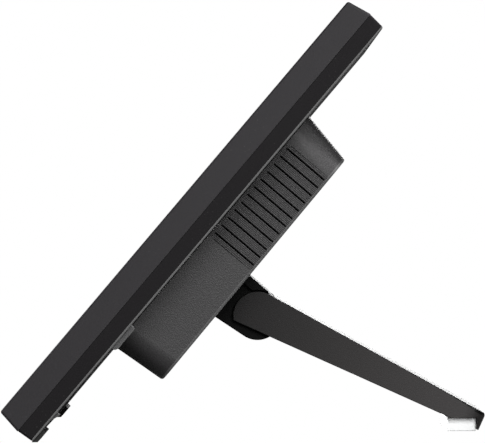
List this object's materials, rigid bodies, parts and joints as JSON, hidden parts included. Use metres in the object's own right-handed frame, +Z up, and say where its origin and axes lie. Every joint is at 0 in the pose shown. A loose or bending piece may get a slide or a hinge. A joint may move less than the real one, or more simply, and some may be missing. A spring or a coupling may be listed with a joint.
{
  "type": "digital photo frame",
  "caption": "Reclining tabletop digital photo frame: a framed display slab with a vented rear housing and one folding leg on a friction hinge.",
  "frame": {"origin": "on the desk, under the middle of the object's floor plan", "axes": "+X to the right of a person facing the screen, +Y from the front to the rear, +Z up; the screen faces -Y and leans back"},
  "size_m": [0.375, 0.274, 0.2422],
  "materials": {
    "bezel": "moulded black, fine satin grain",
    "glass": "clear float glass",
    "mat": "black card mat",
    "screen": "dark liquid crystal cell, switched off",
    "white_plastic": "white light guide unit",
    "steel": "pressed zinc-coated steel",
    "shell": "moulded black, satin",
    "housing": "moulded charcoal, fine spark grain",
    "board": "green solder mask",
    "aluminium": "extruded, clear",
    "zinc": "bright zinc plate",
    "brass": "plain brass",
    "bracket": "moulded black, smooth satin",
    "leg": "moulded dark grey, fine satin grain",
    "silicone": "white silicone, matt",
    "rubber": "black rubber, matt",
    "key": "moulded grey, satin"
  },
  "bodies": {
    "slab": {"front_bezel": "bezel", "window_glass": "glass", "picture_mat": "mat", "lcd_cell": "screen", "backlight_unit": "white_plastic", "panel_chassis": "steel", "stand_support": "steel", "rear_shell": "shell", "dc_inlet": "shell", "speaker_left": "shell", "speaker_right": "shell", "rear_housing": "housing", "main_board": "board", "driver_board": "board", "media_board": "board", "key_board": "board", "heat_sink": "aluminium", "card_slot": "zinc", "usb_socket": "zinc", "shell_screw_1": "zinc", "shell_screw_2": "zinc", "shell_screw_3": "zinc", "shell_screw_4": "zinc", "housing_screw_1": "zinc", "housing_screw_2": "zinc", "housing_screw_3": "zinc", "housing_screw_4": "zinc", "hinge_screw_1": "zinc", "hinge_screw_2": "zinc", "hinge_screw_3": "zinc", "hinge_screw_4": "zinc", "hinge_bracket": "bracket", "foot_left": "rubber", "foot_right": "rubber"},
    "leg": {"hinge_shaft": "steel", "friction_disc_left": "brass", "friction_disc_right": "brass", "hinge_nut_left": "zinc", "hinge_nut_right": "zinc", "leg_arm_left": "steel", "leg_arm_right": "steel", "leg_shell": "leg", "leg_cover": "bracket", "cover_screw_1": "zinc", "cover_screw_2": "zinc", "leg_pad": "silicone"},
    "rocker": {"menu_rocker": "key"},
    "power_key": {"power_button": "key"}
  },
  "joints": [
    {"name": "leg_hinge", "type": "hinge", "parent": "slab", "child": "leg", "pos_m": [0, 0.00478, 0.06678], "axis": [1, 0, 0], "range_deg": [-106, 0]},
    {"name": "menu_rock", "type": "hinge", "parent": "slab", "child": "rocker", "pos_m": [0.174, -0.07167, 0.05906], "axis": [1, 0, 0], "range_deg": [-4, 4], "stiffness_Nm_per_rad": 0.25},
    {"name": "power_press", "type": "slide", "parent": "slab", "child": "power_key", "axis": [0, -0.7631, 0.6463], "range_m": [0, 0.0005], "stiffness_N_per_m": 600}
  ]
}
